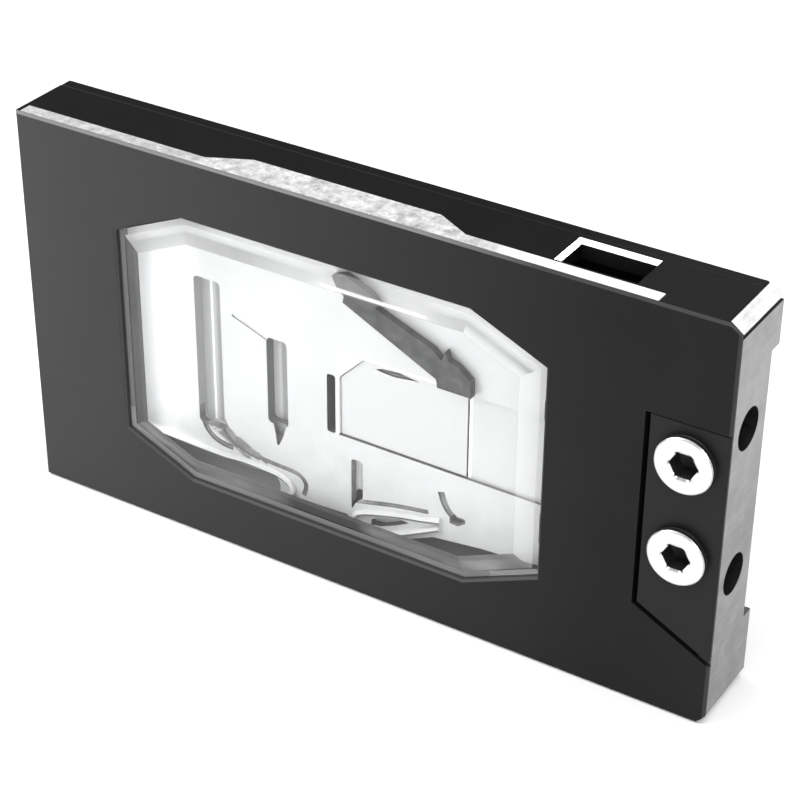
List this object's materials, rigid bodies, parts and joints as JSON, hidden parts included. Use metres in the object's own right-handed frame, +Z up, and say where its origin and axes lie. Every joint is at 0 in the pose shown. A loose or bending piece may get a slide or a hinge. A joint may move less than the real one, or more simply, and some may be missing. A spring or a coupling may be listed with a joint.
{
  "type": "graphics card water block",
  "caption": "Slab-shaped liquid cooling block for a graphics card, with an angular clear window, plugged front ports, open end ports and a light strip along its top edge.",
  "frame": {"origin": "middle of the base of the bounding box, where the block stands on its long lower edge", "axes": "+X along the length towards the end with the ports, +Y from the windowed front towards the rear plate, +Z up"},
  "size_m": [0.2516, 0.0312, 0.138],
  "materials": {
    "black_anodised": "black anodised, fine satin",
    "end_metal": "light grey satin",
    "nickel": "satin nickel plating on copper",
    "plug_nickel": "bright satin plating",
    "clear_plastic": "clear, polished",
    "black_acetal": "machined matte",
    "rubber": "matte",
    "diffuser": "frosted white",
    "board": "white lacquer",
    "steel": "brushed",
    "dark_steel": "black oxide",
    "thermal_pad": "matte, soft"
  },
  "bodies": {
    "root": {"clear_cover": "clear_plastic", "cold_plate": "nickel", "end_plate": "end_metal", "end_screw_1": "steel", "end_screw_2": "steel", "flow_guide": "black_acetal", "front_cover": "black_anodised", "jet_plate": "steel", "led_board": "board", "light_diffuser": "diffuser", "main_seal": "rubber", "plug_seal_lower": "rubber", "plug_seal_upper": "rubber", "port_plug_lower": "plug_nickel", "port_plug_upper": "plug_nickel", "rear_plate": "black_anodised", "rear_screw_1": "dark_steel", "rear_screw_2": "dark_steel", "rear_screw_3": "dark_steel", "rear_screw_4": "dark_steel", "stack_screw_1": "steel", "stack_screw_2": "steel", "stack_screw_3": "steel", "stack_screw_4": "steel", "stack_screw_5": "steel", "stack_screw_6": "steel", "standoff_1": "steel", "standoff_2": "steel", "standoff_3": "steel", "standoff_4": "steel", "terminal_block": "black_acetal", "terminal_screw_1": "steel", "terminal_screw_2": "steel", "terminal_seal_lower": "rubber", "terminal_seal_upper": "rubber", "thermal_pad_inner": "thermal_pad", "thermal_pad_left": "thermal_pad", "thermal_pad_lower": "thermal_pad", "thermal_pad_right": "thermal_pad", "thermal_pad_upper": "thermal_pad"}
  },
  "joints": []
}
